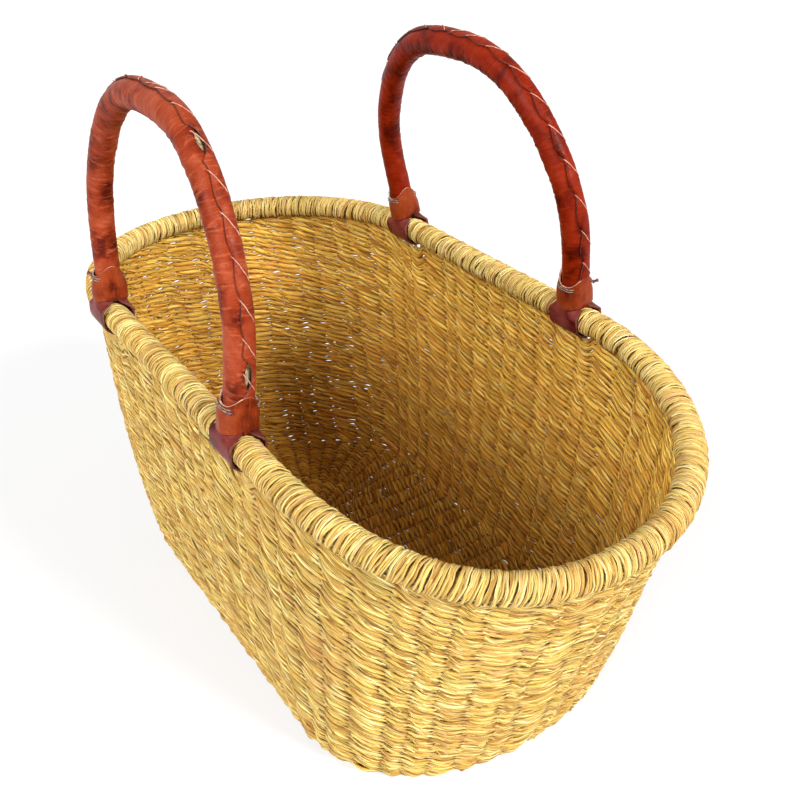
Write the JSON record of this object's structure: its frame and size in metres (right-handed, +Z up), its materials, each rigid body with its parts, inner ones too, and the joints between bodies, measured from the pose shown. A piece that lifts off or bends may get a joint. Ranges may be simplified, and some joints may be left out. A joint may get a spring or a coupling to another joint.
{
  "type": "bolga basket",
  "caption": "Oval twined straw market basket with a bound rim and two hinged, leather-covered carrying handles strapped to it.",
  "frame": {"origin": "middle of the whole basket's bounding box, on the surface it stands on", "axes": "+X along the basket towards its fuller front end, +Y across it towards the right handle, +Z up"},
  "size_m": [0.4492, 0.2308, 0.3403],
  "materials": {
    "straw_weave": "twined dry grass straw, slanted paired wefts over radial stakes, pale yellow-tan with brown and greenish strands",
    "straw_bundle": "tight bundle of dry grass straw, hidden under the binding",
    "straw_binding": "straw wound side by side across the rim in slightly bulging bundles, satin",
    "handle_straw": "pale straw rope, seen only through the gaps of the lacing",
    "terracotta_leather": "vegetable-tanned goat leather, red-brown, fine creases across the bends, satin",
    "maroon_leather": "dark maroon leather strap with a glossy dyed face and paler cut edges",
    "collar_leather": "orange-brown leather band with a raw pale upper edge",
    "pale_thong": "narrow undyed leather thong, matt",
    "dark_thong": "twisted end of a dark leather thong, satin"
  },
  "bodies": {
    "basket": {"floor_weave": "straw_weave", "wall_weave": "straw_weave", "rim_core": "straw_bundle", "rim_binding": "straw_binding"},
    "left_handle": {"left_handle_core": "handle_straw", "left_handle_sleeve": "terracotta_leather", "left_handle_lacing": "pale_thong", "left_front_rim_strap": "maroon_leather", "left_front_collar": "collar_leather", "left_front_collar_cord": "pale_thong", "left_front_thong_end": "dark_thong", "left_rear_rim_strap": "maroon_leather", "left_rear_collar": "collar_leather", "left_rear_collar_cord": "pale_thong", "left_rear_thong_end": "dark_thong"},
    "right_handle": {"right_handle_core": "handle_straw", "right_handle_sleeve": "terracotta_leather", "right_handle_lacing": "pale_thong", "right_front_rim_strap": "maroon_leather", "right_front_collar": "collar_leather", "right_front_collar_cord": "pale_thong", "right_front_thong_end": "dark_thong", "right_rear_rim_strap": "maroon_leather", "right_rear_collar": "collar_leather", "right_rear_collar_cord": "pale_thong", "right_rear_thong_end": "dark_thong"}
  },
  "joints": [
    {"name": "left_handle_swing", "type": "hinge", "parent": "basket", "child": "left_handle", "pos_m": [-0.0086, -0.105, 0.194], "axis": [-1, 0, 0], "range_deg": [-96, 37]},
    {"name": "right_handle_swing", "type": "hinge", "parent": "basket", "child": "right_handle", "pos_m": [-0.0086, 0.105, 0.194], "axis": [1, 0, 0], "range_deg": [-99.5, 33.5]}
  ]
}
